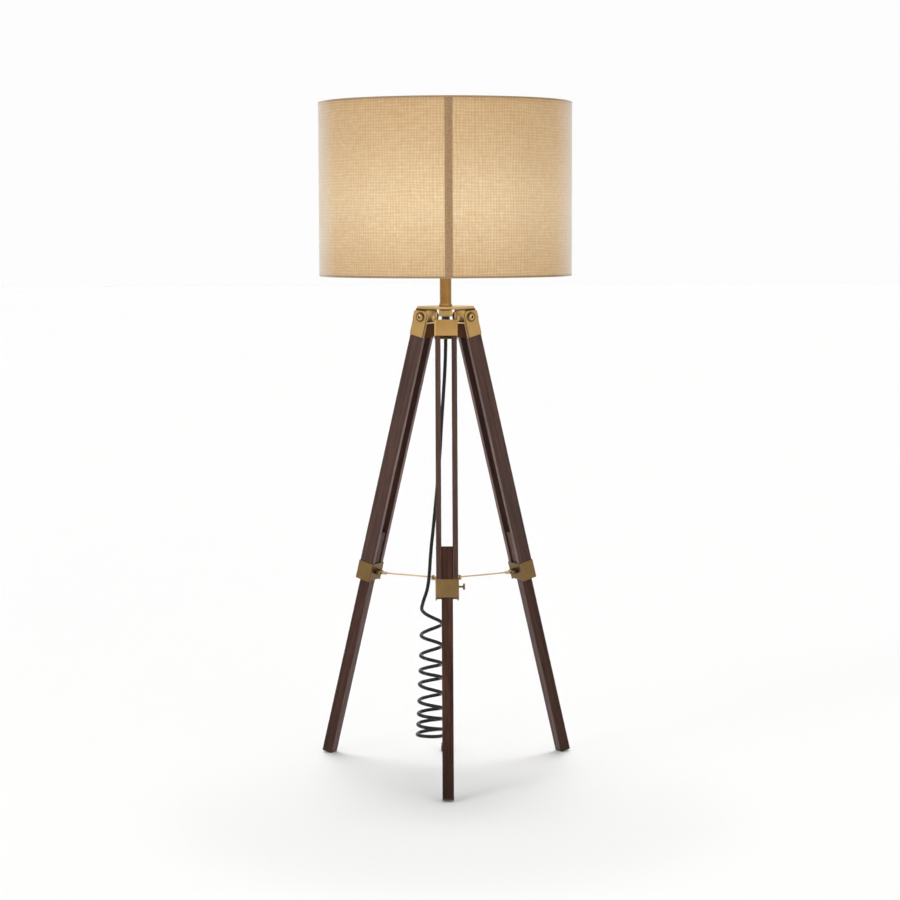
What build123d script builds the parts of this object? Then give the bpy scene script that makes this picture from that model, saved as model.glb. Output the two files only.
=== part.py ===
from build123d import *
import os
from math import cos, pi, radians, sin, sqrt, tan

# Tripod floor lamp with a drum shade, in millimetres.
# The origin is on the floor under the stem, +Z is up and the front leg points along -Y.

# Stand as a whole
PIVOT_RADIUS = 45.0  # from the lamp's axis to each leg's hinge
PIVOT_HEIGHT = 908.5
LEG_TILT = 14.57  # degrees from upright when the legs are spread
LEGS = {"front": -90.0, "right": 30.0, "left": 150.0}  # azimuths in degrees
THUMB_SIDE = {"front": 1, "right": 1, "left": -1}  # the side of the leg its clamp screw is on

# Head: pressed plate with two hinge tabs for each leg
PLATE_TOP = 930.0
PLATE_THICK = 5.0
PLATE_REACH = 53.7  # from the axis to the end of each arm
TAB_OUTER = 21.2  # from the leg's middle to the tab's outer face
TAB_THICK = 4.0
TAB_RADIUS = 11.0
HINGE_RADIUS = 3.0  # shank of a hinge screw
SCREW_TIP = 17.2  # from the leg's middle to the shank's end, flush with the tab
SCREW_HEAD_RADIUS = 8.4
SCREW_HEAD_HEIGHT = 4.6
SOCKET_KEY_RADIUS = 2.8
SOCKET_DEPTH = 2.2

# Leg brackets: sheet sleeves round the rails' upper ends, with two ears
SHEET = 1.5
BRACKET_WIDTH = 45.8
BRACKET_BACK = 16.6  # outer face of the wall towards the lamp's axis
BRACKET_FRONT = 16.6  # outer face of the web
BRACKET_CROWN = -9.6  # along the leg from the hinge, at the ears' outer corners
BRACKET_CREST = -15.6  # at their inner corners, so that they end level
WEB_TOP = 7.0
BRACKET_END = 39.0

# Wooden legs: two fixed rails and one sliding lower leg between them
RAIL_THICK = 10.4
RAIL_DEPTH = 30.0
RAIL_OUTER = 21.3
RAIL_TOP = 13.5
RAIL_END = 548.0
LOWER_WIDTH = 21.7
LOWER_DEPTH = 23.0
LOWER_TOP = 453.0
FOOT_END = 937.1
PAD_THICK = 3.0
WOOD_EDGE = 1.2

# Collars: sleeves round the rails' lower ends, with the clamp screw and the spreader's eye
COLLAR_TOP = 517.5
COLLAR_LENGTH = 37.5
COLLAR_SKIRT = 2.5  # drop of the side walls below the others
COLLAR_WIDTH = 45.2
COLLAR_DEPTH = 33.4
COLLAR_WALL = 1.2
THUMB_AT = 530.0  # along the leg
THUMB_RADIUS = 2.0
THUMB_HEAD_AT = 30.4  # from the leg's middle to the head's inner face
THUMB_HEAD_RADIUS = 6.0
THUMB_HEAD_HEIGHT = 4.0
WINDOW_WIDTH = 26.0
WINDOW_HEIGHT = 6.5
EYE_AT = 534.2  # along the leg
EYE_REACH = 9.3  # from the collar's inner face to the eye's pin
EYE_PIN_RADIUS = 1.5
LUG_INNER = 4.2
LUG_THICK = 2.0
LUG_RADIUS = 4.5

# Spreader: three rods with ball ends, held in a star plate on the lamp's axis
ROD_RADIUS = 1.5
BALL_RADIUS = 3.25
BALL_AT = 26.5  # from the axis to a ball's centre
EYE_RADIUS = 4.0
EYE_HALF = 3.6
EYE_SHANK = 14.0  # thick stretch of the rod beside its eye
HUB_ARM_END = 32.4
HUB_ARM_WIDTH = 10.0
HUB_THICK = 2.0
HUB_LIP = 2.4
HUB_LIP_HEIGHT = 7.6
HUB_DISC_RADIUS = 12.0
HUB_SLOT = 13.2  # from an arm's end inwards

# Stem and electrical fittings
STEM_RADIUS = 11.4
STEM_TOP = 1012.0
NIPPLE_RADIUS = 6.5
NIPPLE_BORE = 4.5
NECK_RADIUS = 13.4
NECK_HEIGHT = 5.5
WASHER_THICK = 3.0
NUT_HEIGHT = 12.0
NUT_CORNER = 13.6
GLAND_TOP_RADIUS = 8.0
GLAND_TIP_RADIUS = 4.6
GLAND_END = 880.0
HOLDER_RADIUS = 20.0
HOLDER_SHOULDER = 1038.5
HOLDER_TOP = 1066.0
SOCKET_RADIUS = 14.0
SWITCH_HEIGHT = 1025.0
SWITCH_RADIUS = 3.5
SWITCH_LENGTH = 62.0
GLOBE_RADIUS = 30.0
GLOBE_NECK = 13.8
GLOBE_NECK_ARC = 25.0
GLOBE_WALL = 1.0

# Shade
SHADE_RADIUS = 250.0
SHADE_BOTTOM = 990.0
SHADE_TOP = 1330.0
SHADE_WALL = 1.4
WIRE_RADIUS = 2.0

# Cord: a straight lead, a curly stretch and a short tail with a two-blade plug
CORD_RADIUS = 3.5
CURL_TOP = (-27.7, -16.0, 331.0)  # axis of the curly stretch
CURL_BOTTOM = (-32.6, -18.8, 64.5)
CURL_TOP_RADIUS = 22.0  # outside of the turns
CURL_BOTTOM_RADIUS = 27.0
PLUG_START = 112.0  # along +Y, where the tail enters the plug's neck
PLUG_NECK = 20.0
PLUG_LENGTH = 30.0
PLUG_WIDTH = 21.0
PLUG_HEIGHT = 14.0
BLADE_LENGTH = 17.0
BLADE_PITCH = 12.7

FIT = 0.1  # running clearance on a radius or a face

PLATE_BOTTOM = PLATE_TOP - PLATE_THICK
WASHER_BOTTOM = PLATE_BOTTOM - WASHER_THICK
NUT_BOTTOM = WASHER_BOTTOM - NUT_HEIGHT
EYE_OFFSET = COLLAR_DEPTH / 2 + EYE_REACH

os.makedirs("parts", exist_ok=True)


def save(piece, label):
    """Label a finished piece and write it to its own file."""
    piece.part.label = label
    export_step(piece.part, f"parts/{label}.step")


def outward(azimuth):
    """Unit vector from the lamp's axis towards a leg."""
    return Vector(1, 0, 0).rotate(Axis.Z, azimuth)


def around(azimuth):
    """Unit vector along a leg's hinge line."""
    return Vector(0, 1, 0).rotate(Axis.Z, azimuth)


def pivot(azimuth):
    """Centre of a leg's hinge."""
    return outward(azimuth) * PIVOT_RADIUS + Vector(0, 0, PIVOT_HEIGHT)


def leg_frame(azimuth):
    """Plane at a leg's hinge: x along the hinge line, y outward, z down the leg."""
    lean = radians(LEG_TILT)
    down_leg = outward(azimuth) * sin(lean) - Vector(0, 0, cos(lean))
    return Plane(origin=pivot(azimuth), x_dir=around(azimuth), z_dir=down_leg)


def side_plane(frame):
    """Plane through a leg's middle: x outward, y down the leg, normal along the hinge line."""
    return Plane(origin=frame.origin, x_dir=frame.y_dir, z_dir=frame.x_dir)


# Head plate: a triangle with cut corners, and a pair of round-ended tabs folded down at each
corners = []
for azimuth in LEGS.values():
    arm_end = outward(azimuth) * PLATE_REACH
    corners += [arm_end - around(azimuth) * TAB_OUTER, arm_end + around(azimuth) * TAB_OUTER]
tab_drop = PLATE_BOTTOM - PIVOT_HEIGHT + 1.0

with BuildPart() as head_plate:
    with BuildSketch(Plane.XY.offset(PLATE_BOTTOM)) as plate_outline:
        with BuildLine():
            Polyline(*corners, close=True)
        make_face()
        fillet(plate_outline.vertices(), 2.5)
        Circle(NIPPLE_RADIUS + FIT, mode=Mode.SUBTRACT)
    extrude(amount=PLATE_THICK)
    chamfer(head_plate.faces().sort_by(Axis.Z)[-1].outer_wire().edges(), 0.8)
    for azimuth in LEGS.values():
        upright = Plane(origin=pivot(azimuth), x_dir=outward(azimuth), z_dir=around(azimuth))
        for inner_face in (TAB_OUTER - TAB_THICK, -TAB_OUTER):
            with BuildSketch(upright.offset(inner_face)):
                Circle(TAB_RADIUS)
                with Locations((0, -tab_drop / 2)):
                    Rectangle(2 * TAB_RADIUS, tab_drop)
                Circle(HINGE_RADIUS + FIT / 2, mode=Mode.SUBTRACT)
            extrude(amount=TAB_THICK)
save(head_plate, "head_plate")

# Stem: a tube with a thick foot that the nipple screws into
stem_wall = 1.6
stem_foot = 16.0
with BuildPart() as stem:
    with BuildSketch(Plane.XZ):
        with BuildLine():
            Polyline(
                (NIPPLE_RADIUS + FIT, PLATE_TOP),
                (STEM_RADIUS, PLATE_TOP),
                (STEM_RADIUS, STEM_TOP),
                (STEM_RADIUS - stem_wall, STEM_TOP),
                (STEM_RADIUS - stem_wall, PLATE_TOP + stem_foot),
                (NIPPLE_RADIUS + FIT, PLATE_TOP + stem_foot),
                close=True,
            )
        make_face()
    revolve(axis=Axis.Z)
save(stem, "stem")

# Neck flange: a turned ring with a waist, at the foot of the stem
with BuildPart() as neck_flange:
    with BuildSketch(Plane.XZ):
        with BuildLine():
            bore = STEM_RADIUS + FIT
            foot = Line((bore, PLATE_TOP), (NECK_RADIUS, PLATE_TOP))
            rim = Line(foot @ 1, (NECK_RADIUS, PLATE_TOP + 2.0))
            waist = RadiusArc(rim @ 1, (bore + 0.8, PLATE_TOP + NECK_HEIGHT), 4.5)
            Polyline(waist @ 1, (bore, PLATE_TOP + NECK_HEIGHT), foot @ 0)
        make_face()
    revolve(axis=Axis.Z)
save(neck_flange, "neck_flange")

# Threaded nipple, fibre washer and hexagon nut that clamp the stem to the plate
with BuildPart() as nipple:
    with BuildSketch(Plane.XY.offset(NUT_BOTTOM)):
        Circle(NIPPLE_RADIUS)
        Circle(NIPPLE_BORE, mode=Mode.SUBTRACT)
    extrude(amount=PLATE_TOP + stem_foot - NUT_BOTTOM - 1.0)
save(nipple, "threaded_nipple")

with BuildPart() as lock_washer:
    with BuildSketch(Plane.XY.offset(WASHER_BOTTOM)):
        Circle(NUT_CORNER - 1.2)
        Circle(NIPPLE_RADIUS + FIT, mode=Mode.SUBTRACT)
    extrude(amount=WASHER_THICK)
save(lock_washer, "lock_washer")

nut_bevel = 1.3
with BuildPart() as lock_nut:
    with BuildSketch(Plane.XY.offset(NUT_BOTTOM)):
        RegularPolygon(NUT_CORNER, 6)
        Circle(NIPPLE_RADIUS + FIT, mode=Mode.SUBTRACT)
    extrude(amount=NUT_HEIGHT)
    with BuildSketch(Plane.XZ):
        with BuildLine():
            Polyline(
                (0, NUT_BOTTOM),
                (NUT_CORNER - nut_bevel, NUT_BOTTOM),
                (NUT_CORNER, NUT_BOTTOM + nut_bevel / 2),
                (NUT_CORNER, WASHER_BOTTOM - nut_bevel / 2),
                (NUT_CORNER - nut_bevel, WASHER_BOTTOM),
                (0, WASHER_BOTTOM),
                close=True,
            )
        make_face()
    revolve(axis=Axis.Z, mode=Mode.INTERSECT)
save(lock_nut, "lock_nut")

# Cord gland: a tapered strain relief under the nut
with BuildPart() as cord_gland:
    with BuildSketch(Plane.XZ):
        with BuildLine():
            Polyline(
                (0, NUT_BOTTOM),
                (GLAND_TOP_RADIUS, NUT_BOTTOM),
                (GLAND_TOP_RADIUS, NUT_BOTTOM - 6.0),
                (GLAND_TIP_RADIUS + 1.2, NUT_BOTTOM - 9.0),
                (GLAND_TIP_RADIUS, GLAND_END),
                (0, GLAND_END),
                close=True,
            )
        make_face()
    revolve(axis=Axis.Z)
save(cord_gland, "cord_gland")

# Lampholder: a domed switch housing with a flange, under a screwed skirt with the socket
with BuildPart() as lampholder:
    with BuildSketch(Plane.XZ):
        with BuildLine():
            base = Line((0, STEM_TOP), (STEM_RADIUS + 1.5, STEM_TOP))
            dome = RadiusArc(base @ 1, (HOLDER_RADIUS, STEM_TOP + 9.0), 10.0)
            Polyline(
                dome @ 1,
                (HOLDER_RADIUS, HOLDER_SHOULDER - 3.0),
                (HOLDER_RADIUS + 2.5, HOLDER_SHOULDER - 3.0),
                (HOLDER_RADIUS + 2.5, HOLDER_SHOULDER),
                (HOLDER_RADIUS - 0.3, HOLDER_SHOULDER),
                (HOLDER_RADIUS - 0.3, HOLDER_TOP),
                (SOCKET_RADIUS, HOLDER_TOP),
                (SOCKET_RADIUS, HOLDER_SHOULDER - 2.0),
                (0, HOLDER_SHOULDER - 2.0),
                base @ 0,
            )
        make_face()
    revolve(axis=Axis.Z)
    with BuildSketch(Plane.YZ.offset(-HOLDER_RADIUS - 5.0)):
        with Locations((0, SWITCH_HEIGHT)):
            Circle(SWITCH_RADIUS + FIT)
    extrude(amount=2 * HOLDER_RADIUS + 10.0, mode=Mode.SUBTRACT)
save(lampholder, "lampholder")

# Push-bar switch: a round-ended bar through the housing, pushed to the left at rest
switch_travel = 6.0
with BuildPart() as switch_bar:
    with BuildSketch(Plane.YZ.offset(-SWITCH_LENGTH / 2 - switch_travel / 2)):
        with Locations((0, SWITCH_HEIGHT)):
            Circle(SWITCH_RADIUS)
    extrude(amount=SWITCH_LENGTH)
    fillet(switch_bar.edges().filter_by(GeomType.CIRCLE), 1.5)
save(switch_bar, "switch_bar")

# Bulb: a screw cap and a pear-shaped globe whose neck runs into the sphere by a tangent arc
cap_bottom = HOLDER_SHOULDER - 1.0
with BuildPart() as bulb_cap:
    with BuildSketch(Plane.XZ):
        with BuildLine():
            Polyline(
                (0, cap_bottom),
                (5.0, cap_bottom),
                (SOCKET_RADIUS - 1.0, cap_bottom + 5.0),
                (SOCKET_RADIUS - 1.0, HOLDER_TOP + 0.2),
                (0, HOLDER_TOP + 0.2),
                close=True,
            )
        make_face()
    revolve(axis=Axis.Z)
save(bulb_cap, "bulb_cap")

neck_base = HOLDER_TOP + 0.2
neck_top = neck_base + 7.0
arc_centre = GLOBE_NECK + GLOBE_NECK_ARC
globe_rise = sqrt((GLOBE_RADIUS + GLOBE_NECK_ARC) ** 2 - arc_centre**2)
globe_centre = neck_top + globe_rise
touch = GLOBE_RADIUS / (GLOBE_RADIUS + GLOBE_NECK_ARC)
with BuildPart() as bulb_globe:
    with BuildSketch(Plane.XZ):
        with BuildLine():
            bottom = Line((0, neck_base), (GLOBE_NECK, neck_base))
            neck = Line(bottom @ 1, (GLOBE_NECK, neck_top))
            shoulder = TangentArc(
                neck @ 1, (arc_centre * touch, globe_centre - globe_rise * touch), tangent=neck % 1
            )
            crown = TangentArc(shoulder @ 1, (0, globe_centre + GLOBE_RADIUS), tangent=shoulder % 1)
            Line(crown @ 1, bottom @ 0)
        make_face()
    revolve(axis=Axis.Z)
    offset(amount=-GLOBE_WALL, openings=bulb_globe.faces().sort_by(Axis.Z)[0])
save(bulb_globe, "bulb_globe")

# Shade: a fabric drum on a stiff liner, with a wire ring rolled into each edge
with BuildPart() as shade:
    with BuildSketch(Plane.XY.offset(SHADE_BOTTOM)):
        Circle(SHADE_RADIUS)
        Circle(SHADE_RADIUS - SHADE_WALL, mode=Mode.SUBTRACT)
    extrude(amount=SHADE_TOP - SHADE_BOTTOM)
save(shade, "shade_drum")

ring_radius = SHADE_RADIUS - SHADE_WALL - WIRE_RADIUS - FIT
ring_inset = WIRE_RADIUS + 0.5
for label, height in (
    ("shade_top_ring", SHADE_TOP - ring_inset),
    ("shade_bottom_ring", SHADE_BOTTOM + ring_inset),
):
    with BuildPart() as wire_ring:
        with BuildSketch(Plane.XZ):
            with Locations((ring_radius, height)):
                Circle(WIRE_RADIUS)
        revolve(axis=Axis.Z)
    save(wire_ring, label)

# Spider: a flat ring on the lampholder's flange, and three bent spokes down to the bottom ring
spider_thick = 3.0
spider_inner = HOLDER_RADIUS
spider_outer = 27.0
spoke_bend = 70.0
spoke_level = HOLDER_SHOULDER + spider_thick - WIRE_RADIUS
spoke_end = (ring_radius - WIRE_RADIUS - 0.3, SHADE_BOTTOM + ring_inset + 1.0)
with BuildPart() as shade_spider:
    with BuildSketch(Plane.XY.offset(HOLDER_SHOULDER)):
        Circle(spider_outer)
        Circle(spider_inner, mode=Mode.SUBTRACT)
    extrude(amount=spider_thick)
    for azimuth in LEGS.values():
        spoke_plane = Plane(origin=(0, 0, 0), x_dir=outward(azimuth), z_dir=-around(azimuth))
        with BuildLine(spoke_plane) as spoke:
            FilletPolyline(
                (spider_outer - 3.0, spoke_level), (spoke_bend, spoke_level), spoke_end, radius=25.0
            )
        with BuildSketch(Plane(origin=spoke.line @ 0, z_dir=spoke.line % 0)):
            Circle(WIRE_RADIUS)
        sweep(path=spoke.line)
save(shade_spider, "shade_spider")

# Shade ring: a notched collar on the holder's skirt that clamps the spider
grip_count = 12
with BuildPart() as shade_ring:
    with BuildSketch(Plane.XY.offset(HOLDER_SHOULDER + spider_thick + FIT)):
        Circle(26.0)
        with PolarLocations(27.2, grip_count):
            Circle(2.4, mode=Mode.SUBTRACT)
        Circle(HOLDER_RADIUS - 0.3 + FIT, mode=Mode.SUBTRACT)
    extrude(amount=8.0)
save(shade_ring, "shade_ring")

# Legs: each is a bracket, two rails, a collar and a sliding lower leg, hinged to the head plate
bracket_depth = BRACKET_FRONT + BRACKET_BACK
bracket_middle = (BRACKET_FRONT - BRACKET_BACK) / 2
rail_centre = RAIL_OUTER - RAIL_THICK / 2
screw_seat = BRACKET_WIDTH / 2 + FIT
lean = radians(LEG_TILT)
rod_height = PIVOT_HEIGHT - EYE_AT * cos(lean) - EYE_OFFSET * sin(lean)
eye_radius_at = PIVOT_RADIUS + EYE_AT * sin(lean) - EYE_OFFSET * cos(lean)

for leg, azimuth in LEGS.items():
    frame = leg_frame(azimuth)
    side = side_plane(frame)
    thumb_side = THUMB_SIDE[leg]

    # Bracket: a sleeve round the rails, and two ears that hang on the hinge
    with BuildPart() as bracket:
        with BuildSketch(frame.offset(WEB_TOP)):
            with Locations((0, bracket_middle)):
                RectangleRounded(BRACKET_WIDTH, bracket_depth, WOOD_EDGE + SHEET)
                RectangleRounded(
                    BRACKET_WIDTH - 2 * SHEET, bracket_depth - 2 * SHEET, WOOD_EDGE, mode=Mode.SUBTRACT
                )
        extrude(amount=BRACKET_END - WEB_TOP)
        for ear_face in (BRACKET_WIDTH / 2 - SHEET, -BRACKET_WIDTH / 2):
            with BuildSketch(side.offset(ear_face)) as ear:
                with BuildLine():
                    Polyline(
                        (4.0 - BRACKET_BACK, WEB_TOP + 3.0),
                        (-BRACKET_BACK, WEB_TOP),
                        (-BRACKET_BACK, BRACKET_CREST),
                        (BRACKET_FRONT, BRACKET_CROWN),
                        (BRACKET_FRONT, WEB_TOP),
                        (BRACKET_FRONT - 4.0, WEB_TOP + 3.0),
                        close=True,
                    )
                make_face()
                fillet(ear.vertices().sort_by_distance((-BRACKET_BACK, BRACKET_CREST, 0))[0], 12.0)
                fillet(ear.vertices().sort_by_distance((BRACKET_FRONT, BRACKET_CROWN, 0))[0], 3.0)
                Circle(HINGE_RADIUS + FIT, mode=Mode.SUBTRACT)
            extrude(amount=SHEET)
    save(bracket, f"{leg}_bracket")

    # Hinge fasteners: on each side a domed socket screw through the ear, threaded into the tab
    hinge_line = Axis(frame.origin, frame.x_dir)
    with BuildPart() as hinge_fasteners:
        for hand in (1, -1):
            with BuildSketch(frame):
                with BuildLine():
                    shank = Polyline(
                        (hand * SCREW_TIP, 0),
                        (hand * SCREW_TIP, HINGE_RADIUS),
                        (hand * screw_seat, HINGE_RADIUS),
                        (hand * screw_seat, SCREW_HEAD_RADIUS),
                    )
                    dome = ThreePointArc(
                        shank @ 1,
                        (hand * (screw_seat + 0.75 * SCREW_HEAD_HEIGHT), 0.72 * SCREW_HEAD_RADIUS),
                        (hand * (screw_seat + SCREW_HEAD_HEIGHT), 0),
                    )
                    Line(dome @ 1, shank @ 0)
                make_face()
            revolve(axis=hinge_line)
            socket_floor = screw_seat + SCREW_HEAD_HEIGHT - SOCKET_DEPTH
            with BuildSketch(side.offset(hand * socket_floor)):
                RegularPolygon(SOCKET_KEY_RADIUS, 6)
            extrude(amount=hand * 2 * SOCKET_DEPTH, mode=Mode.SUBTRACT)
    save(hinge_fasteners, f"{leg}_hinge_fasteners")

    # Rails: two wooden strips; the one under the clamp screw is drilled for its shank
    for hand, rail_name in ((1, "rail_a"), (-1, "rail_b")):
        with BuildPart() as rail:
            with BuildSketch(frame.offset(RAIL_TOP)) as rail_section:
                with Locations((hand * rail_centre, 0)):
                    Rectangle(RAIL_THICK, RAIL_DEPTH)
                fillet(rail_section.vertices(), WOOD_EDGE)
            extrude(amount=RAIL_END - RAIL_TOP)
            if hand == thumb_side:
                with BuildSketch(side):
                    with Locations((0, THUMB_AT)):
                        Circle(THUMB_RADIUS + 0.3)
                extrude(amount=hand * RAIL_OUTER * 2, mode=Mode.SUBTRACT)
        save(rail, f"{leg}_{rail_name}")

    # Collar: a rectangular sleeve; its inner wall has a window and two lugs for the rod's eye
    with BuildPart() as collar:
        with BuildSketch(frame.offset(COLLAR_TOP)) as sleeve:
            Rectangle(COLLAR_WIDTH, COLLAR_DEPTH)
            fillet(sleeve.vertices(), 1.8)
            Rectangle(
                COLLAR_WIDTH - 2 * COLLAR_WALL, COLLAR_DEPTH - 2 * COLLAR_WALL, mode=Mode.SUBTRACT
            )
        extrude(amount=COLLAR_LENGTH)
        with BuildSketch(frame.offset(COLLAR_TOP + COLLAR_LENGTH - COLLAR_SKIRT)):
            Rectangle(COLLAR_WIDTH - 6.0, 2 * COLLAR_DEPTH)
        extrude(amount=2 * COLLAR_SKIRT, mode=Mode.SUBTRACT)
        inner_wall = Plane(
            origin=frame.from_local_coords(Vector(0, -COLLAR_DEPTH / 2, EYE_AT)),
            x_dir=frame.x_dir,
            z_dir=-frame.y_dir,
        )
        with BuildSketch(inner_wall):
            SlotOverall(WINDOW_WIDTH, WINDOW_HEIGHT)
        extrude(amount=-COLLAR_WALL, mode=Mode.SUBTRACT)
        for hand in (1, -1):
            lug_face = hand * (LUG_INNER + LUG_THICK)
            with BuildSketch(side.offset(lug_face)):
                with Locations((-EYE_OFFSET, EYE_AT)):
                    Circle(LUG_RADIUS)
                lug_root = EYE_OFFSET - COLLAR_DEPTH / 2 + COLLAR_WALL
                with Locations((-EYE_OFFSET + lug_root / 2, EYE_AT)):
                    Rectangle(lug_root, 2 * LUG_RADIUS)
                with Locations((-EYE_OFFSET, EYE_AT)):
                    Circle(EYE_PIN_RADIUS + FIT / 2, mode=Mode.SUBTRACT)
            extrude(amount=-hand * LUG_THICK)
        with BuildSketch(side):
            with Locations((0, THUMB_AT)):
                Circle(THUMB_RADIUS + FIT)
        extrude(amount=thumb_side * COLLAR_WIDTH, mode=Mode.SUBTRACT)
    save(collar, f"{leg}_collar")

    # Glide pads: two plastic strips between the lower leg and the collar
    glide_inner = LOWER_DEPTH / 2 + FIT
    glide_outer = COLLAR_DEPTH / 2 - COLLAR_WALL
    with BuildPart() as glide_pads:
        with BuildSketch(frame.offset(COLLAR_TOP + 3.0)):
            for hand in (1, -1):
                with Locations((0, hand * (glide_inner + glide_outer) / 2)):
                    Rectangle(2 * (RAIL_OUTER - RAIL_THICK - 0.3), glide_outer - glide_inner)
        extrude(amount=COLLAR_LENGTH - COLLAR_SKIRT - 6.0)
    save(glide_pads, f"{leg}_glide_pads")

    # Lower leg: a wooden bar that slides between the rails
    with BuildPart() as lower_leg:
        with BuildSketch(frame.offset(LOWER_TOP)) as bar_section:
            Rectangle(LOWER_WIDTH, LOWER_DEPTH)
            fillet(bar_section.vertices(), WOOD_EDGE)
        extrude(amount=FOOT_END - PAD_THICK - LOWER_TOP)
    save(lower_leg, f"{leg}_lower_leg")

    # Foot pad: square to the leg, with its inner edge worn flat where it meets the floor
    with BuildPart() as foot_pad:
        with BuildSketch(frame.offset(FOOT_END - PAD_THICK)) as pad_section:
            Rectangle(LOWER_WIDTH, LOWER_DEPTH)
            fillet(pad_section.vertices(), WOOD_EDGE)
        extrude(amount=PAD_THICK)
        split(bisect_by=Plane.XY, keep=Keep.TOP)
    save(foot_pad, f"{leg}_foot_pad")

    # Clamp screw: a plain shank with a knurled head, square to the leg's side
    with BuildPart() as thumb_screw:
        with BuildSketch(side.offset(thumb_side * (LOWER_WIDTH / 2 + FIT))):
            with Locations((0, THUMB_AT)):
                Circle(THUMB_RADIUS)
        extrude(amount=thumb_side * (THUMB_HEAD_AT - LOWER_WIDTH / 2 - FIT))
        with BuildSketch(side.offset(thumb_side * THUMB_HEAD_AT)):
            with Locations((0, THUMB_AT)):
                Circle(THUMB_HEAD_RADIUS)
                with PolarLocations(THUMB_HEAD_RADIUS + 0.3, 16):
                    Circle(0.8, mode=Mode.SUBTRACT)
        extrude(amount=thumb_side * THUMB_HEAD_HEIGHT)
    save(thumb_screw, f"{leg}_thumb_screw")

    # Eye pin: holds the spreader's rod between the collar's lugs
    with BuildPart() as eye_pin:
        with BuildSketch(side.offset(-LUG_INNER - LUG_THICK - 0.8)):
            with Locations((-EYE_OFFSET, EYE_AT)):
                Circle(EYE_PIN_RADIUS)
        extrude(amount=2 * (LUG_INNER + LUG_THICK + 0.8))
    save(eye_pin, f"{leg}_eye_pin")

    # Spreader rod: level when the legs are spread, an eye at the collar and a ball at the hub
    level = Plane(origin=(0, 0, rod_height), x_dir=outward(azimuth), z_dir=-around(azimuth))
    with BuildPart() as spreader_rod:
        with BuildSketch(Plane(origin=level.from_local_coords((BALL_AT, 0)), z_dir=outward(azimuth))):
            Circle(ROD_RADIUS)
        extrude(amount=eye_radius_at - BALL_AT - EYE_RADIUS)
        with BuildSketch(level.offset(-EYE_HALF)):
            with Locations((eye_radius_at, 0)):
                Circle(EYE_RADIUS)
            with Locations((eye_radius_at - EYE_SHANK / 2, 0)):
                Rectangle(EYE_SHANK, 1.7 * EYE_PIN_RADIUS * 2)
            with Locations((eye_radius_at, 0)):
                Circle(EYE_PIN_RADIUS + FIT, mode=Mode.SUBTRACT)
        extrude(amount=2 * EYE_HALF)
        with Locations(level.from_local_coords((BALL_AT, 0))):
            Sphere(BALL_RADIUS)
    save(spreader_rod, f"{leg}_spreader_rod")

# Hub: a star plate with upturned ends; each arm is slotted so its rod can swing down
hub_top = rod_height - BALL_RADIUS - 0.3
slot_width = 2 * ROD_RADIUS + 0.6
with BuildPart() as hub:
    with BuildSketch(Plane.XY.offset(hub_top - HUB_THICK)):
        Circle(HUB_DISC_RADIUS)
        with PolarLocations(0, len(LEGS), start_angle=LEGS["front"]):
            with Locations((HUB_ARM_END / 2, 0)):
                Rectangle(HUB_ARM_END, HUB_ARM_WIDTH)
    extrude(amount=HUB_THICK)
    with BuildSketch(Plane.XY.offset(hub_top)):
        with PolarLocations(HUB_ARM_END - HUB_LIP / 2, len(LEGS), start_angle=LEGS["front"]):
            Rectangle(HUB_LIP, HUB_ARM_WIDTH)
    extrude(amount=HUB_LIP_HEIGHT)
    with BuildSketch(Plane.XY.offset(hub_top - HUB_THICK)):
        with PolarLocations(HUB_ARM_END - HUB_SLOT / 2, len(LEGS), start_angle=LEGS["front"]):
            Rectangle(HUB_SLOT, slot_width)
    extrude(amount=HUB_THICK + HUB_LIP_HEIGHT, mode=Mode.SUBTRACT)
save(hub, "spreader_hub")


def corner_radii(points):
    """One bend radius per inner corner, from the shorter neighbouring run and the turn."""
    radii = []
    for before, corner, after in zip(points, points[1:], points[2:]):
        run_in = Vector(corner) - Vector(before)
        run_out = Vector(after) - Vector(corner)
        half_turn = radians(run_in.get_angle(run_out)) / 2
        radii.append(0.45 * min(run_in.length, run_out.length) / tan(half_turn))
    return radii


# Cord: the lead hangs from the gland, the tail runs to a plug on the floor behind the front leg
lead_points = [
    (0.0, 0.0, GLAND_END),
    (0.0, 0.0, 836.0),
    (-4.1, -2.4, 757.0),
    (-8.2, -4.7, 700.0),
    (-11.6, -6.7, 630.0),
    (-19.6, -11.3, 541.0),
    (-25.5, -14.4, 481.0),
    (-30.0, -16.8, 440.0),
    (-32.5, -17.8, 396.0),
    (-36.0, -17.2, 366.0),
    (-43.2, -15.4, 345.0),
    (-46.2, -16.0, 331.0),
]
tail_points = [
    (-9.2, -18.8, 68.0),
    (-8.8, 2.0, 65.5),
    (-7.5, 30.0, 50.0),
    (-5.0, 54.0, 27.0),
    (-2.0, 77.0, 11.0),
    (0.0, 97.0, PLUG_HEIGHT / 2),
    (0.0, PLUG_START, PLUG_HEIGHT / 2),
]
for label, points in (("cord_lead", lead_points), ("cord_tail", tail_points)):
    radii = corner_radii(points)
    with BuildPart() as cord:
        with BuildLine() as route:
            FilletPolyline(*points, radius=radii)
        with BuildSketch(Plane(origin=route.line @ 0, z_dir=route.line % 0)):
            Circle(CORD_RADIUS)
        sweep(path=route.line)
    save(cord, label)
    length = route.wires()[0].length
    print(label, "length", round(length, 1), "radii", [round(radius) for radius in radii])
    print(label, "volume share", round(cord.part.volume / (pi * CORD_RADIUS**2 * length), 4))

# Curly stretch: one plain tapered solid as wide as the outside of its turns
with BuildPart() as cord_curl:
    with BuildSketch(Plane(origin=CURL_TOP)):
        Circle(CURL_TOP_RADIUS)
    with BuildSketch(Plane(origin=CURL_BOTTOM)):
        Circle(CURL_BOTTOM_RADIUS)
    loft()
save(cord_curl, "cord_curl")

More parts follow.
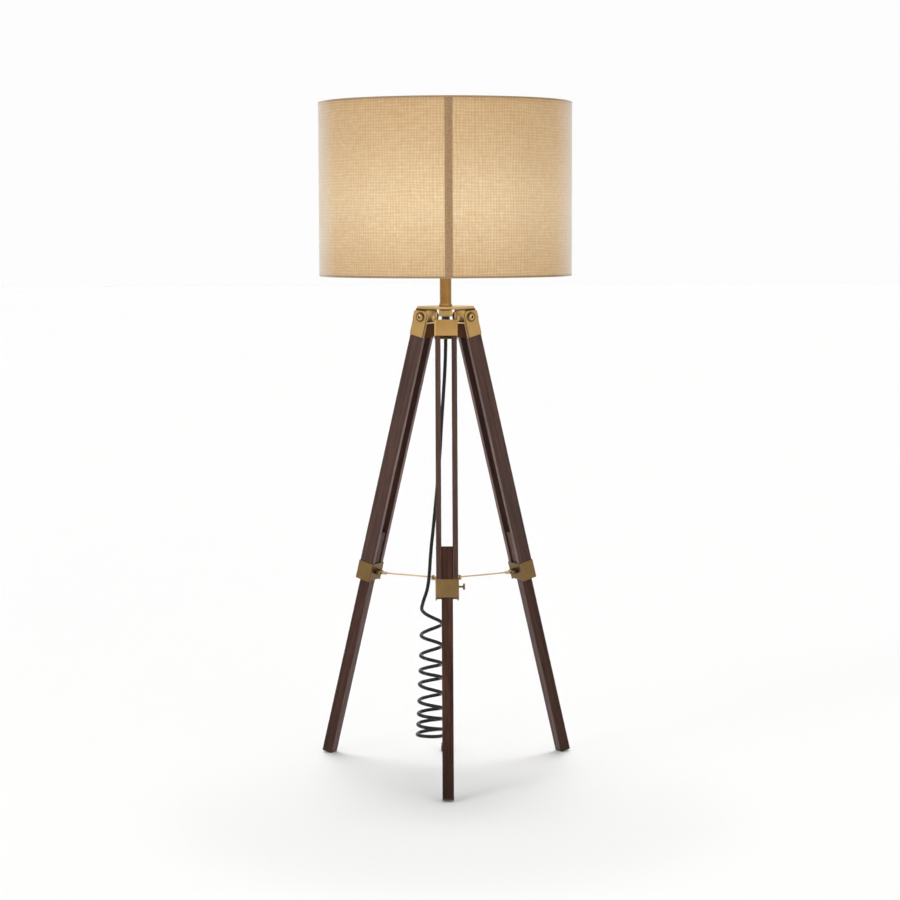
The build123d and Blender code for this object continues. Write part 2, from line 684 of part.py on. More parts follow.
# Plug: a moulded body with a tapered neck, lying flat, and two flat blades
entry = Plane(origin=(0, PLUG_START, PLUG_HEIGHT / 2), x_dir=(1, 0, 0), z_dir=(0, 1, 0))
with BuildPart() as plug:
    with BuildSketch(entry.offset(PLUG_NECK)) as plug_section:
        Rectangle(PLUG_WIDTH, PLUG_HEIGHT)
        fillet(plug_section.vertices(), 3.5)
    extrude(amount=PLUG_LENGTH)
    fillet(plug.faces().sort_by(Axis.Y)[-1].edges(), 1.2)
    with BuildSketch(entry):
        Circle(CORD_RADIUS + 0.8)
    with BuildSketch(entry.offset(PLUG_NECK)):
        Circle(PLUG_HEIGHT / 2 - 0.6)
    loft()
save(plug, "plug_body")

with BuildPart() as plug_blades:
    with BuildSketch(entry.offset(PLUG_NECK + PLUG_LENGTH)):
        with GridLocations(BLADE_PITCH, 0, 2, 1):
            Rectangle(1.5, 6.3)
    extrude(amount=BLADE_LENGTH)
save(plug_blades, "plug_blades")
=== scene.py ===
from math import cos, pi, radians, sin

import bpy
from mathutils import Matrix, Vector


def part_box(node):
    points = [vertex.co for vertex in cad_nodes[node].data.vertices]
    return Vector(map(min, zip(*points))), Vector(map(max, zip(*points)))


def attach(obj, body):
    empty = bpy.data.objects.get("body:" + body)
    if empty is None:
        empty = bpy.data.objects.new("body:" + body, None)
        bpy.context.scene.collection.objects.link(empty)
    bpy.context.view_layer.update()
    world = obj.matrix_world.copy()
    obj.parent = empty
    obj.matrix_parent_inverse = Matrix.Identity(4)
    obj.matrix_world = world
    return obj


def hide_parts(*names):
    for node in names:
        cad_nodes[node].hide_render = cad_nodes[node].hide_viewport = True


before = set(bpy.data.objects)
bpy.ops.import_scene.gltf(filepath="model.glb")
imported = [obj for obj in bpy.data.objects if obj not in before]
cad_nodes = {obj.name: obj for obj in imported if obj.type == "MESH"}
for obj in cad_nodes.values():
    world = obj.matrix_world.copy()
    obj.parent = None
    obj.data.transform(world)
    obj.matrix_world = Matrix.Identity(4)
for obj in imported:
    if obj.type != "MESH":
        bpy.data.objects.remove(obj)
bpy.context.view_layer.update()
scene = bpy.context.scene
scene.view_settings.view_transform = "Standard"

# Camera
# A long lens stands four and a half metres in front of the lamp, level with the
# lower half of the shade, and looks slightly down, as in the photograph.
camera_place = (-0.03935, -4.53914, 1.081)
camera_turn = (radians(90 - 5.5088), radians(0.146), radians(-0.611))
bpy.ops.object.camera_add(location=camera_place, rotation=camera_turn)
camera = bpy.context.object
camera.data.lens = 91.38
camera.data.sensor_width = 36.0
camera.data.clip_end = 60.0
scene.camera = camera

# Curly cord
# A black two-core rubber lead, 7 mm thick. It hangs from the gland, coils like a
# telephone cord nearly to the floor and ends in a plug behind the front leg.
cord_radius = 0.0035
lead_route = [
    (0.0, 0.0, 0.880),
    (0.0, 0.0, 0.836),
    (-0.0046, -0.0024, 0.757),
    (-0.0089, -0.0047, 0.700),
    (-0.0125, -0.0067, 0.630),
    (-0.0207, -0.0113, 0.541),
    (-0.0267, -0.0144, 0.481),
    (-0.0314, -0.0168, 0.440),
    (-0.0340, -0.0178, 0.396),
    (-0.0375, -0.0172, 0.366),
    (-0.0460, -0.0150, 0.342),
]
tail_route = [
    (-0.0055, -0.0060, 0.0675),
    (0.0000, 0.0120, 0.0615),
    (0.0008, 0.0330, 0.0470),
    (0.0005, 0.0570, 0.0245),
    (0.0, 0.0800, 0.0100),
    (0.0, 0.0970, 0.0070),
    (0.0, 0.1120, 0.0070),
]
curl_top = Vector((-0.0293, -0.0160, 0.0))
curl_bottom = Vector((-0.0348, -0.0188, 0.0))
curl_top_radius = 0.0205
curl_bottom_radius = 0.0254
curl_lean = 0.17  # how far each turn is tipped towards the back
# heights of the turns' left and right ends: the weight of the lower turns draws the upper ones apart
curl_ends = [
    0.327, 0.295, 0.272, 0.251, 0.231, 0.214, 0.200, 0.186, 0.173,
    0.154, 0.139, 0.124, 0.113, 0.102, 0.091, 0.081, 0.0705, 0.068,
]
last_end = len(curl_ends) - 1
steps_per_end = 8
spline_cut = cos(pi / 2 / steps_per_end)  # the spline runs inside its points by this factor

curl_route = []
for number in range(last_end * steps_per_end + 1):
    end, part = divmod(number, steps_per_end)
    following = curl_ends[min(end + 1, last_end)]
    height = curl_ends[end] + (following - curl_ends[end]) * part / steps_per_end
    turn = number / steps_per_end / 2
    along = number / (last_end * steps_per_end)
    reach = (curl_top_radius + (curl_bottom_radius - curl_top_radius) * along) / spline_cut
    angle = pi + 2 * pi * turn
    lean = curl_lean * min(turn, 1.0) * (1.0 - 0.5 * along)
    centre = curl_top.lerp(curl_bottom, along)
    rise = height - lean * sin(angle) * reach
    curl_route.append(centre + Vector((cos(angle) * reach, sin(angle) * reach, rise)))
cord_route = lead_route + curl_route + tail_route

cord_curve = bpy.data.curves.new("curly_cord", "CURVE")
cord_curve.dimensions = "3D"
cord_curve.bevel_depth = cord_radius
cord_curve.bevel_resolution = 5
cord_curve.use_fill_caps = True
cord_curve.resolution_u = 6
cord_line = cord_curve.splines.new("NURBS")
cord_line.points.add(len(cord_route) - 1)
for point, spot in zip(cord_line.points, cord_route):
    point.co = (*spot, 1.0)
cord_line.order_u = 3
cord_line.use_endpoint_u = True
cord = bpy.data.objects.new("curly_cord", cord_curve)
scene.collection.objects.link(cord)
cord.visible_shadow = False  # the photograph's floor shows no shadow of it


def add_node(tree, kind, inputs=None, **settings):
    """Add a shader node, set its options and feed its sockets with values or links."""
    made = tree.nodes.new(kind)
    for option, value in settings.items():
        setattr(made, option, value)
    for socket, value in (inputs or {}).items():
        if isinstance(value, bpy.types.NodeSocket):
            tree.links.new(value, made.inputs[socket])
        else:
            made.inputs[socket].default_value = value
    return made


def new_finish(name, **values):
    """Start a material; returns it, its tree, its shader and its object coordinates."""
    finish = bpy.data.materials.new(name)
    finish.use_nodes = True
    tree = finish.node_tree
    shader = tree.nodes["Principled BSDF"]
    for socket, value in values.items():
        shader.inputs[socket.replace("_", " ")].default_value = value
    place = tree.nodes.new("ShaderNodeTexCoord").outputs["Object"]
    return finish, tree, shader, place


def noise(tree, place, scale, detail=3.0, roughness=0.55):
    """Smooth noise between 0 and 1."""
    inputs = {"Vector": place, "Scale": scale, "Detail": detail, "Roughness": roughness}
    return add_node(tree, "ShaderNodeTexNoise", inputs).outputs["Fac"]


def ramp(tree, factor, *stops):
    """Colours by a factor: each stop is a position and a colour."""
    made = add_node(tree, "ShaderNodeValToRGB", {"Fac": factor})
    elements = made.color_ramp.elements
    while len(elements) < len(stops):
        elements.new(0.5)
    for element, (position, colour) in zip(elements, stops):
        element.position = position
        element.color = (*colour, 1.0)
    return made.outputs["Color"]


def cloud(tree, shader, place, scale, *stops):
    """Colour a shader in soft clouds between stops of tone."""
    tree.links.new(ramp(tree, noise(tree, place, scale), *stops), shader.inputs["Base Color"])


def bump(tree, shader, height, depth, strength=1.0):
    """Raise a shader's surface by a height between 0 and 1, times a depth in metres."""
    inputs = {"Height": height, "Distance": depth, "Strength": strength}
    made = add_node(tree, "ShaderNodeBump", inputs)
    tree.links.new(made.outputs["Normal"], shader.inputs["Normal"])


cord_black, tree, shader, place = new_finish("cord_black", Roughness=0.27, Specular_IOR_Level=0.24)
cloud(tree, shader, place, 60.0, (0.3, (0.006, 0.0055, 0.005)), (0.75, (0.013, 0.012, 0.0115)))
bump(tree, shader, noise(tree, place, 900.0), 0.00012, 0.35)
cord_curve.materials.append(cord_black)

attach(cord, "head")
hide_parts("cord_lead", "cord_curl", "cord_tail")

# Head
# A pressed brass plate carries the stem and hangs the legs from its tabs. A plated
# nipple with a fibre washer and a hexagon nut clamps the stem, over a black cord gland.
untouched = (1.0, 1.0, 1.0)


def spread(tree, value, low, high):
    """Stretch a value between 0 and 1 to the range from low to high."""
    return add_node(tree, "ShaderNodeMapRange", {"Value": value, "To Min": low, "To Max": high}).outputs[0]


def tinted(tree, colour, other):
    """Multiply one colour by another."""
    inputs = {0: 1.0, 6: colour, 7: other}
    return add_node(tree, "ShaderNodeMix", inputs, data_type="RGBA", blend_type="MULTIPLY").outputs[2]


def dot_product(tree, first, second):
    """How far one vector reaches along another."""
    inputs = {0: first, 1: second}
    return add_node(tree, "ShaderNodeVectorMath", inputs, operation="DOT_PRODUCT").outputs["Value"]


def edge_tint(tree, width, *stops):
    """Normals rounded over the edges, and colours by how far these agree with the flat ones."""
    soft = add_node(tree, "ShaderNodeBevel", {"Radius": width}, samples=4).outputs["Normal"]
    flat = add_node(tree, "ShaderNodeNewGeometry").outputs["Normal"]
    return soft, ramp(tree, dot_product(tree, soft, flat), *stops)


def brass_finish(name, colour, roughness=0.36):
    """Lacquered satin brass: clouds of tone, painted shade in its crevices, edges paler by wear and painted
    highlight.
    """
    edge_width = 0.0009
    joint_reach = 0.005
    grain_depth = 0.00008
    finish, tree, shader, place = new_finish(name, Metallic=1.0)
    darker = [0.84 * part for part in colour]
    lighter = [min(1.0, 1.12 * part) for part in colour]
    tint = ramp(tree, noise(tree, place, 22.0, 4.0), (0.30, darker), (0.72, lighter))
    # paler edges: partly rubbed wear, partly a painted highlight
    soft, worn_and_highlit = edge_tint(tree, edge_width, (0.80, (1.45, 1.42, 1.36)), (0.99, untouched))
    # painted shade: darker where nearby parts hem the surface in, in crevices and joints
    joint = add_node(tree, "ShaderNodeAmbientOcclusion", {"Distance": joint_reach}, samples=6).outputs["AO"]
    painted_crevice_shade = ramp(tree, joint, (0.35, (0.15, 0.12, 0.10)), (0.80, untouched))
    tint = tinted(tree, tinted(tree, tint, worn_and_highlit), painted_crevice_shade)
    tree.links.new(tint, shader.inputs["Base Color"])
    grain = noise(tree, place, 1400.0, 2.0)
    tree.links.new(spread(tree, grain, roughness - 0.07, roughness + 0.09), shader.inputs["Roughness"])
    inputs = {"Height": grain, "Distance": grain_depth, "Strength": 0.35, "Normal": soft}
    grained = add_node(tree, "ShaderNodeBump", inputs)
    tree.links.new(grained.outputs["Normal"], shader.inputs["Normal"])
    return finish


def dress(finish, *names):
    """Give CAD nodes a finish."""
    for name in names:
        cad_nodes[name].material_slots[0].material = finish


head_tint = (0.40, 0.250, 0.094)
head_brass = brass_finish("head_brass", head_tint)
plate_brass = brass_finish("plate_brass", (0.52, 0.335, 0.135))
stem_brass = brass_finish("stem_brass", (0.34, 0.185, 0.058), 0.42)
nut_brass = brass_finish("nut_brass", (0.70, 0.445, 0.160))
plated_steel = brass_finish("plated_steel", (0.62, 0.61, 0.58), 0.3)
dress(plate_brass, "head_plate")
dress(stem_brass, "stem")
dress(head_brass, "neck_flange")
dress(plated_steel, "threaded_nipple")
dress(nut_brass, "lock_nut")

black_plastic, tree, shader, place = new_finish("black_plastic", Roughness=0.5)
cloud(tree, shader, place, 90.0, (0.3, (0.010, 0.010, 0.010)), (0.8, (0.026, 0.026, 0.027)))
bump(tree, shader, noise(tree, place, 1600.0), 0.0001, 0.4)
dress(black_plastic, "lock_washer", "cord_gland")


def calculate(tree, operation, first, second=0.0):
    """One step of arithmetic between shader values."""
    return add_node(tree, "ShaderNodeMath", {0: first, 1: second}, operation=operation).outputs[0]


def step(tree, value, start, end):
    """0 before the start, 1 past the end."""
    inputs = {"Value": value, "From Min": start, "From Max": end}
    return add_node(tree, "ShaderNodeMapRange", inputs).outputs[0]


def band(tree, value, low, high, soft):
    """1 between two values and 0 outside them, with soft edges."""
    rise = step(tree, value, low - soft, low)
    return calculate(tree, "MULTIPLY", rise, step(tree, value, high + soft, high))


def stain(finish, colour):
    """Multiply a finish's colour by another."""
    tree = finish.node_tree
    target = tree.nodes["Principled BSDF"].inputs["Base Color"]
    tree.links.new(tinted(tree, target.links[0].from_socket, colour), target)


# painted shade darkens the bends where the tabs turn down under the plate
plate_thick = 0.005
plate_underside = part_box("head_plate")[1][2] - plate_thick
bend_top = plate_underside - 0.0003
bend_bottom = plate_underside - 0.0045
bend_fade = 0.0015
tree = plate_brass.node_tree
place = tree.nodes["Texture Coordinate"].outputs["Object"]
height = add_node(tree, "ShaderNodeSeparateXYZ", {"Vector": place}).outputs["Z"]
painted_bend_shade = band(tree, height, bend_bottom, bend_top, bend_fade)
stain(plate_brass, ramp(tree, painted_bend_shade, (0.0, untouched), (1.0, (0.22, 0.21, 0.20))))

# Lampholder and bulb
# A turned brass switch housing with a plastic push bar carries the screw socket. The
# bulb is an opal glass globe on a plated cap, and lights the shade from inside.
dress(head_brass, "lampholder")
dress(black_plastic, "switch_bar")
dress(plated_steel, "bulb_cap")

opal_glass, tree, shader, place = new_finish(
    "opal_glass", Roughness=0.25, Emission_Color=(1.0, 0.84, 0.60, 1.0), Emission_Strength=0.45
)
cloud(tree, shader, place, 40.0, (0.2, (0.50, 0.47, 0.42)), (0.8, (0.57, 0.54, 0.48)))
dress(opal_glass, "bulb_globe")
cad_nodes["bulb_globe"].visible_shadow = False

lamp_height = 1.130
lamp_offset = 0.004  # from the bulb's axis
lamp_size = 0.03
lamp_spread = radians(86)
lamp_power = 0.186
lamp_colour = (0.86, 0.95, 1.0)
lamp_turn = radians(11)  # the light is strongest this far left of the front
lamp_beams = 8
for beam in range(lamp_beams):
    azimuth = 2 * pi * beam / lamp_beams
    aim = Vector((sin(azimuth), -cos(azimuth), 0))
    bpy.ops.object.light_add(type="AREA", location=aim * lamp_offset + Vector((0, 0, lamp_height)))
    lamp = bpy.context.object
    lamp.name = f"lamp_{beam}"
    lamp.data.size = lamp_size
    lamp.data.spread = lamp_spread
    lamp.data.energy = lamp_power * (0.5 + 0.5 * cos(azimuth + lamp_turn) ** 2)
    lamp.data.color = lamp_colour
    lamp.visible_camera = False
    lamp.rotation_euler = (-aim).to_track_quat("Z", "Y").to_euler()

# Shade
# A drum of slubby linen laminated to a white liner and stretched between two wire
# rings. Where the drum turns away, a pale nap is mixed in as a painted sheen.
drum_low, drum_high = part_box("shade_drum")
drum_radius = drum_high[0]
drum_height = drum_high[2] - drum_low[2]
drum_middle = (drum_high[2] + drum_low[2]) / 2
drum_sides = 256
drum_wall = 0.0013
drum_inset = 0.0003  # of the cloth's face from the drum's full radius
drum_short = 0.001  # so that the hems cover the cloth's cut edges
crease = radians(40)

bpy.ops.object.select_all(action="DESELECT")
bpy.ops.mesh.primitive_cylinder_add(
    vertices=drum_sides,
    radius=drum_radius - drum_inset,
    depth=drum_height - drum_short,
    end_fill_type="NOTHING",
    location=(0, 0, drum_middle),
)
drum = bpy.context.object
drum.name = "shade_cloth"
bpy.ops.object.transform_apply()
thicken = drum.modifiers.new("wall", "SOLIDIFY")
thicken.thickness = drum_wall
thicken.offset = -1.0
bpy.ops.object.modifier_apply(modifier=thicken.name)
bpy.ops.object.shade_smooth_by_angle(angle=crease)


def drum_coordinates(tree, place):
    """Distance round the drum from its back, and height, in metres."""
    parts = add_node(tree, "ShaderNodeSeparateXYZ", {"Vector": place}).outputs
    angle = calculate(tree, "ARCTAN2", parts["X"], parts["Y"])
    return calculate(tree, "MULTIPLY", angle, drum_radius), parts["Z"]


def threads(tree, across, along, pitch, waver=0.0, slubs=30.0):
    """Threads side by side: how far each place is covered by one, thicker and thinner along it."""
    number = calculate(tree, "DIVIDE", across, pitch)
    if waver:
        slower = calculate(tree, "MULTIPLY", along, 0.18)
        drift = add_node(tree, "ShaderNodeCombineXYZ", {"X": across, "Y": slower}).outputs["Vector"]
        number = calculate(tree, "ADD", number, spread(tree, noise(tree, drift, 40.0, 3.0), -waver, waver))
    centred = calculate(tree, "ABSOLUTE", calculate(tree, "SUBTRACT", calculate(tree, "FRACT", number), 0.5))
    profile = calculate(tree, "SUBTRACT", 1.0, calculate(tree, "MULTIPLY", centred, 2.0))
    lane = calculate(tree, "MULTIPLY", calculate(tree, "FLOOR", number), 3.7)
    length = calculate(tree, "MULTIPLY", along, slubs)
    spot = add_node(tree, "ShaderNodeCombineXYZ", {"X": lane, "Y": length}).outputs["Vector"]
    slub = noise(tree, spot, 1.0, 3.0)
    return calculate(tree, "MULTIPLY", profile, spread(tree, slub, 0.68, 1.32)), slub


def add_sheen_nap(tree, place, cloth):
    """Lay a pale nap over a cloth where the drum turns away: a painted sheen along the drum's edges."""
    inputs = {"Base Color": (0.90, 0.88, 0.86, 1.0), "Roughness": 1.0, "Specular IOR Level": 0.0}
    nap = add_node(tree, "ShaderNodeBsdfPrincipled", inputs).outputs[0]
    level = add_node(tree, "ShaderNodeVectorMath", {0: place, 1: (1.0, 1.0, 0.0)}, operation="MULTIPLY")
    outward = add_node(tree, "ShaderNodeVectorMath", {0: level.outputs[0]}, operation="NORMALIZE")
    grazing = add_node(tree, "ShaderNodeLayerWeight", {"Blend": 0.5, "Normal": outward.outputs[0]})
    inputs = {"Value": grazing.outputs["Facing"], "From Min": 0.50, "To Max": 0.68}
    fuzz = add_node(tree, "ShaderNodeMapRange", inputs).outputs[0]
    napped = add_node(tree, "ShaderNodeMixShader", {0: fuzz, 1: cloth, 2: nap})
    tree.links.new(napped.outputs[0], tree.nodes["Material Output"].inputs["Surface"])


linen, tree, shader, place = new_finish(
    "linen",
    Roughness=0.95,
    Specular_IOR_Level=0.1,
    Sheen_Weight=0.5,
    Sheen_Roughness=0.4,
    Sheen_Tint=(1.0, 0.98, 0.95, 1.0),
)
round_it, height = drum_coordinates(tree, place)
thread_pitch = 2 * pi * drum_radius / 268
thread_waver = 1.1  # how many threads' widths a thread strays
warp, warp_slub = threads(tree, round_it, height, 1.03 * thread_pitch, thread_waver, 75.0)
weft, weft_slub = threads(tree, height, round_it, 0.94 * thread_pitch, thread_waver, 45.0)
over = calculate(tree, "MULTIPLY", calculate(tree, "MAXIMUM", warp, weft), 0.4)
both = calculate(tree, "MULTIPLY", calculate(tree, "ADD", warp, weft), 0.3)
cover = calculate(tree, "ADD", over, both)
streaks = calculate(tree, "MULTIPLY", calculate(tree, "ADD", warp_slub, weft_slub), 0.5)
uneven = ramp(tree, streaks, (0.36, (0.955, 0.925, 0.895)), (0.64, (1.03, 1.05, 1.065)))
cloth_tint = ramp(
    tree, cover, (0.20, (0.629, 0.322, 0.128)), (0.54, (0.676, 0.403, 0.183)), (0.88, (0.704, 0.453, 0.218))
)
tree.links.new(tinted(tree, cloth_tint, uneven), shader.inputs["Base Color"])
bump(tree, shader, cover, 0.0005, 0.30)
through_tint = ramp(
    tree, cover, (0.20, (0.708, 0.604, 0.442)), (0.54, (0.724, 0.724, 0.595)), (0.88, (0.748, 0.787, 0.668))
)
through = add_node(tree, "ShaderNodeBsdfTranslucent", {"Color": tinted(tree, through_tint, uneven)})
cloth = add_node(tree, "ShaderNodeMixShader", {0: 0.30, 1: shader.outputs[0], 2: through.outputs[0]})
# painted sheen: pale where the drum turns away
add_sheen_nap(tree, place, cloth.outputs[0])
drum.data.materials.append(linen)

liner, tree, shader, place = new_finish("shade_liner", Roughness=0.6)
cloud(tree, shader, place, 30.0, (0.2, (0.80, 0.77, 0.70)), (0.8, (0.88, 0.86, 0.80)))
through = add_node(tree, "ShaderNodeBsdfTranslucent", {"Color": (0.95, 0.92, 0.86, 1.0)})
sheet = add_node(tree, "ShaderNodeMixShader", {0: 0.6, 1: shader.outputs[0], 2: through.outputs[0]})
tree.links.new(sheet.outputs[0], tree.nodes["Material Output"].inputs["Surface"])
drum.data.materials.append(liner)
for face in drum.data.polygons:
    inward = face.normal.x * face.center.x + face.normal.y * face.center.y < -0.1 * drum_radius
    face.material_index = 1 if inward else 0

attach(drum, "head")
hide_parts("shade_drum")

# Hems
# The linen is rolled over the wire rings at the drum's two edges and glued down. It
# lies three layers thick there, lets no light through and so looks darker.
hem_height = 0.0042
hem_thick = 0.0028
hem_proud = 0.0002
hem_cloth, tree, shader, place = new_finish("hem_cloth", Roughness=0.9)
round_it, height = drum_coordinates(tree, place)
stitch = threads(tree, round_it, height, thread_pitch / 2)[0]
tint = ramp(tree, stitch, (0.1, (0.275, 0.190, 0.112)), (0.9, (0.485, 0.345, 0.215)))
tree.links.new(tint, shader.inputs["Base Color"])
bump(tree, shader, stitch, 0.0003, 0.6)
# painted sheen on the hems where the drum turns away
add_sheen_nap(tree, place, shader.outputs[0])
for name, middle in (
    ("top_hem", drum_high[2] - hem_height / 2),
    ("bottom_hem", drum_low[2] + hem_height / 2),
):
    bpy.ops.object.select_all(action="DESELECT")
    bpy.ops.mesh.primitive_circle_add(vertices=14, radius=0.5, rotation=(pi / 2, 0, 0))
    hem = bpy.context.object
    hem.name = name
    hem.scale = (hem_thick, hem_height, 1.0)
    hem.location = (drum_radius - hem_thick / 2 + hem_proud, 0, middle)
    bpy.ops.object.transform_apply(location=True, rotation=True, scale=True)
    bpy.ops.object.mode_set(mode="EDIT")
    bpy.ops.mesh.select_all(action="SELECT")
    bpy.ops.mesh.spin(steps=drum_sides, angle=2 * pi, center=(0, 0, 0), axis=(0, 0, 1))
    bpy.ops.mesh.select_all(action="SELECT")
    bpy.ops.mesh.remove_doubles(threshold=0.00001)
    bpy.ops.mesh.normals_make_consistent(inside=False)
    bpy.ops.object.mode_set(mode="OBJECT")
    bpy.ops.object.shade_smooth()
    hem.data.materials.append(hem_cloth)
    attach(hem, "head")

# Seam tape
# A ribbed taupe strip of woven tape, glued over the joint of the cloth at the front.
# It runs from hem to hem.
tape_width = 0.0145
tape_thick = 0.0007
tape_middle = 0.0040  # round the drum, from the front
tape_lap = 0.001  # over the edge of each hem
tape_rib = 0.0016
bpy.ops.object.select_all(action="DESELECT")
bpy.ops.mesh.primitive_grid_add(x_subdivisions=10, y_subdivisions=40, size=1.0)
tape = bpy.context.object
tape.name = "seam_tape"
for corner in tape.data.vertices:
    turn = (tape_middle + corner.co.x * tape_width) / drum_radius - pi / 2
    rise = corner.co.y * (drum_height - 2 * hem_height + 2 * tape_lap)
    corner.co = (drum_radius * cos(turn), drum_radius * sin(turn), drum_middle + rise)
thicken = tape.modifiers.new("cloth", "SOLIDIFY")
thicken.thickness = tape_thick
thicken.offset = 1.0
bpy.ops.object.modifier_apply(modifier=thicken.name)
bpy.ops.object.shade_smooth_by_angle(angle=crease)
tape_cloth, tree, shader, place = new_finish("tape_cloth", Roughness=0.9)
round_it, height = drum_coordinates(tree, place)
rib = threads(tree, round_it, height, tape_rib)[0]
tint = ramp(tree, rib, (0.1, (0.25, 0.150, 0.073)), (0.9, (0.54, 0.342, 0.176)))
speckle = ramp(tree, noise(tree, place, 260.0, 2.0), (0.34, (0.87, 0.86, 0.85)), (0.66, (1.13, 1.14, 1.15)))
tree.links.new(tinted(tree, tint, speckle), shader.inputs["Base Color"])
bump(tree, shader, rib, 0.0002, 0.5)
tape.data.materials.append(tape_cloth)
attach(tape, "head")

# Shade rings and spider
# Two steel wire rings in the hems, and a flat ring with three bent spokes welded to
# the lower one, all enamelled white. A brass ring clamps them on the lampholder.
wire_enamel, tree, shader, place = new_finish("wire_enamel", Roughness=0.35)
cloud(tree, shader, place, 50.0, (0.2, (0.74, 0.71, 0.65)), (0.8, (0.84, 0.81, 0.75)))
bump(tree, shader, noise(tree, place, 700.0), 0.0001, 0.3)
dress(wire_enamel, "shade_top_ring", "shade_bottom_ring", "shade_spider")
dress(head_brass, "shade_ring")

# Rails and lower legs
# Each leg is two walnut rails with a sliding bar between them, planed square, stained
# dark and lacquered. Painted light makes the faces towards the lamp's axis paler, and painted shade darkens
# the feet.
leg_azimuths = {"front": radians(-90), "right": radians(30), "left": radians(150)}
leg_tilt = radians(14.57)
# painted light: each leg's wood lighter or darker by how the lamps fall on its side
leg_light_tones = {"front": 0.95, "right": 0.90, "left": 1.02}
# painted shade at each foot, strongest on the front leg
floor_shade_tones = {"front": 0.48, "right": 0.88, "left": 0.88}
rail_gloss = 0.26
rail_painted_light = (2.7, 3.7, 4.9)
bar_tones = {"front": 1.08, "right": 0.90, "left": 0.90}
bar_gloss = {"front": 0.06, "right": 0.12, "left": 0.12}
bar_painted_light = (2.0, 2.7, 3.4)


def leg_directions(azimuth):
    """A leg's directions: away from the lamp's axis, along its hinge, down it, and out of its inner face."""
    outward = Vector((cos(azimuth), sin(azimuth), 0))
    across = Vector((-sin(azimuth), cos(azimuth), 0))
    down = outward * sin(leg_tilt) - Vector((0, 0, cos(leg_tilt)))
    inner = -(outward * cos(leg_tilt) + Vector((0, 0, sin(leg_tilt))))
    return outward, across, down, inner


def wood_finish(name, turned, shift, tone, gloss, floor_shade_tone, inner, pale):
    """Dark stained walnut with its grain along one leg; painted light on the inner faces and edges, painted
    shade at the foot.
    """
    edge_width = 0.0016
    finish, tree, shader, place = new_finish(name, Specular_IOR_Level=gloss)
    along = add_node(tree, "ShaderNodeMapping", {"Vector": place, "Rotation": turned, "Location": shift})
    streak = add_node(tree, "ShaderNodeMapping", {"Vector": along.outputs[0], "Scale": (1.0, 1.0, 0.05)})
    pore = add_node(tree, "ShaderNodeMapping", {"Vector": along.outputs[0], "Scale": (1.0, 1.0, 0.025)})
    figure = noise(tree, streak.outputs[0], 130.0, 5.0, 0.6)
    pores = noise(tree, pore.outputs[0], 900.0, 2.0)
    light = [tone * part for part in (0.110, 0.051, 0.036)]
    middle = [tone * part for part in (0.074, 0.033, 0.023)]
    dark = [tone * part for part in (0.042, 0.018, 0.013)]
    tint = ramp(tree, figure, (0.28, dark), (0.5, middle), (0.75, light))
    pits = ramp(tree, pores, (0.34, (0.45, 0.42, 0.40)), (0.46, untouched))
    # painted highlight along the rounded edges
    edge_highlight = edge_tint(tree, edge_width, (0.82, (2.1, 2.3, 2.4)), (0.985, untouched))[1]
    flat = add_node(tree, "ShaderNodeNewGeometry").outputs["Normal"]
    # painted light: the faces towards the lamp's axis are paler
    inner_face_light = ramp(tree, dot_product(tree, flat, inner), (0.90, untouched), (0.97, pale))
    height = add_node(tree, "ShaderNodeSeparateXYZ", {"Vector": place}).outputs["Z"]
    # painted shade: darker towards the floor
    floor_shade = ramp(tree, height, (0.02, [floor_shade_tone] * 3), (0.21, untouched))
    tint = tinted(tree, tinted(tree, tint, pits), tinted(tree, floor_shade, tinted(tree, edge_highlight, inner_face_light)))
    tree.links.new(tint, shader.inputs["Base Color"])
    tree.links.new(spread(tree, figure, 0.34, 0.52), shader.inputs["Roughness"])
    bump(tree, shader, pores, 0.0003, 0.35)
    return finish


for count, (leg, azimuth) in enumerate(leg_azimuths.items()):
    outward, across, down, inner = leg_directions(azimuth)
    turned = Matrix((across, down.cross(across), down)).to_euler()
    pieces = (
        ("rail_a", 1.0, rail_gloss, rail_painted_light),
        ("rail_b", 1.04, rail_gloss, rail_painted_light),
        ("lower_leg", bar_tones[leg], bar_gloss[leg], bar_painted_light),
    )
    for order, (piece, tone, gloss, pale) in enumerate(pieces):
        shift = (0.31 * order + 0.17 * count, 0.23 * order, 0.41 * count)
        tone *= leg_light_tones[leg]
        name = f"walnut_{leg}_{piece}"
        wood = wood_finish(name, turned, shift, tone, gloss, floor_shade_tones[leg], inner, pale)
        dress(wood, f"{leg}_{piece}")

# Leg brackets
# Each is a sleeve folded from brass sheet round the rails' upper ends. Its two ears
# hang on domed socket screws that are threaded into the head plate's tabs.
hinge_radius = 0.045
hinge_height = 0.9085
bracket_rim = 0.0098  # along the leg from the hinge to where the wall's painted shade begins
bracket_margin = 0.0199  # from the leg's middle to the painted highlight strips beside the folds
bracket_back = 0.0166  # from the hinge to the outside of the wall towards the lamp's axis
fold_line = (bracket_back - 0.0030, bracket_back - 0.0014)
ring_inside = 0.0085
ring_outside = ring_inside + 0.0014
line_fade = 0.0004
# painted light: dark lines at the folds and round the screws, a dark inner wall, and bright margins
painted_line_shade = (0.36, 0.34, 0.32)
wall_painted_shade = (0.105, 0.070, 0.115)
margin_painted_highlight = (2.4, 3.1, 4.6)
facing_start = 0.90
facing_end = 0.96


def squared(tree, value):
    """A value times itself."""
    return calculate(tree, "MULTIPLY", value, value)


